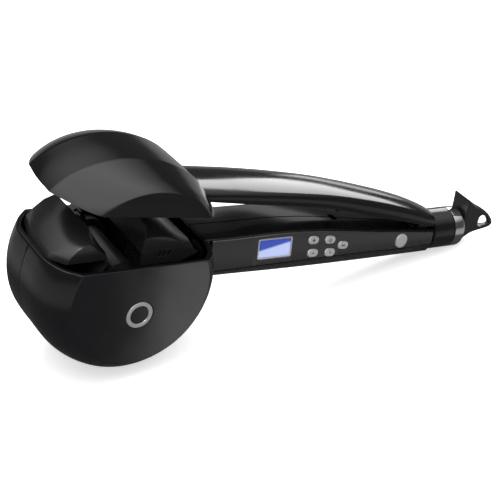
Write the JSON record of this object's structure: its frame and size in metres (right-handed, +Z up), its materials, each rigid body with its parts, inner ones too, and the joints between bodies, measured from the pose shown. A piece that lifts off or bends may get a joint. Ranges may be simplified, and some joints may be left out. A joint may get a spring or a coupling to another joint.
{
  "type": "automatic hair curler",
  "caption": "Automatic hair curler with a drum-shaped head, a hinged cover on the upper arm, winding rotor, display, keys and swivel tail.",
  "frame": {"origin": "centre of the bounding box's underside, on the table", "axes": "+X along the arms towards the tail, +Y from the emblem face to the far face, +Z up, as the curler lies on a table on its bowl and tail"},
  "size_m": [0.2822, 0.0634, 0.1073],
  "materials": {
    "gloss_black": "polished",
    "panel_black": "satin",
    "guide_black": "satin",
    "satin_black": "satin",
    "chrome": "polished",
    "silver": "satin",
    "steel": "satin",
    "brass": "satin",
    "ceramic_coat": "satin",
    "nylon": "matte",
    "clear": "polished",
    "display": "polished",
    "circuit": "matte",
    "rubber": "matte"
  },
  "bodies": {
    "lower_body": {"barrel_cap": "panel_black", "casing_screw_1": "steel", "casing_screw_2": "steel", "casing_screw_3": "steel", "chamber_liner": "ceramic_coat", "control_panel": "panel_black", "face_emblem": "chrome", "far_casing": "gloss_black", "front_guide": "guide_black", "heated_barrel": "ceramic_coat", "heater_core": "steel", "hinge_pin": "steel", "hinge_spring": "steel", "key_board": "circuit", "lcd_module": "display", "lcd_window": "clear", "lower_idler_pin": "steel", "main_board": "circuit", "motor": "steel", "motor_plate": "steel", "near_casing": "gloss_black", "rear_guide": "guide_black", "rotor_bearing": "nylon", "start_switch": "panel_black", "swivel_bearing": "nylon", "tail_collar": "gloss_black", "tail_ring": "chrome", "upper_idler_pin": "steel"},
    "upper_arm": {"head_cover": "gloss_black", "cover_liner": "panel_black", "arm_cover": "gloss_black", "arm_lid": "panel_black"},
    "rotor": {"rotor": "nylon", "winding_hook": "steel"},
    "upper_idler": {"upper_idler": "nylon"},
    "lower_idler": {"lower_idler": "nylon"},
    "motor_pinion": {"motor_pinion": "brass"},
    "swivel": {"swivel_end": "satin_black", "cord_gland": "rubber"},
    "key_plus": {"key_plus": "silver"},
    "key_minus": {"key_minus": "silver"},
    "key_power": {"key_power": "silver"},
    "key_direction": {"key_direction": "silver"},
    "key_time": {"key_time": "silver"},
    "round_button": {"round_button": "silver"}
  },
  "joints": [
    {"name": "arm_close", "type": "hinge", "parent": "lower_body", "child": "upper_arm", "pos_m": [0.08652, 0, 0.01636], "axis": [0, -1, 0], "range_deg": [0, 7.75], "stiffness_Nm_per_rad": 0.45, "springref_deg": -31.51, "deforming": ["hinge_spring"]},
    {"name": "rotor_spin", "type": "hinge", "parent": "lower_body", "child": "rotor", "pos_m": [-0.09511, 0.0206, 0.0458], "axis": [0, 1, 0], "continuous": true},
    {"name": "upper_idler_spin", "type": "hinge", "parent": "lower_body", "child": "upper_idler", "pos_m": [-0.06876, 0.0206, 0.03906], "axis": [0, 1, 0], "continuous": true},
    {"name": "lower_idler_spin", "type": "hinge", "parent": "lower_body", "child": "lower_idler", "pos_m": [-0.08295, 0.0206, 0.02147], "axis": [0, 1, 0], "continuous": true},
    {"name": "motor_pinion_spin", "type": "hinge", "parent": "lower_body", "child": "motor_pinion", "pos_m": [-0.07272, 0.0206, 0.02774], "axis": [0, 1, 0], "continuous": true},
    {"name": "key_plus_press", "type": "slide", "parent": "lower_body", "child": "key_plus", "axis": [-0.0679, 0.9822, -0.1754], "range_m": [0, 0.0005], "stiffness_N_per_m": 1200, "springref_m": -0.0008},
    {"name": "key_minus_press", "type": "slide", "parent": "lower_body", "child": "key_minus", "axis": [-0.0679, 0.9822, -0.1753], "range_m": [0, 0.0005], "stiffness_N_per_m": 1200, "springref_m": -0.0008},
    {"name": "key_power_press", "type": "slide", "parent": "lower_body", "child": "key_power", "axis": [-0.0738, 0.9827, -0.1698], "range_m": [0, 0.0005], "stiffness_N_per_m": 1200, "springref_m": -0.0008},
    {"name": "key_direction_press", "type": "slide", "parent": "lower_body", "child": "key_direction", "axis": [-0.0767, 0.9838, -0.1621], "range_m": [0, 0.0005], "stiffness_N_per_m": 1200, "springref_m": -0.0008},
    {"name": "key_time_press", "type": "slide", "parent": "lower_body", "child": "key_time", "axis": [-0.0741, 0.9828, -0.1693], "range_m": [0, 0.0005], "stiffness_N_per_m": 1200, "springref_m": -0.0008},
    {"name": "round_button_press", "type": "slide", "parent": "lower_body", "child": "round_button", "axis": [-0.0778, 0.9922, -0.0976], "range_m": [0, 0.0005], "stiffness_N_per_m": 1200, "springref_m": -0.0008},
    {"name": "swivel_turn", "type": "hinge", "parent": "lower_body", "child": "swivel", "pos_m": [0.10505, 0, 0.01184], "axis": [0.988, 0, -0.1546], "continuous": true}
  ],
  "couplings": [
    {"joint": "upper_idler_spin", "follows": "rotor_spin", "ratio": -2.7778},
    {"joint": "lower_idler_spin", "follows": "rotor_spin", "ratio": -2.7778},
    {"joint": "motor_pinion_spin", "follows": "rotor_spin", "ratio": 4.1667}
  ]
}
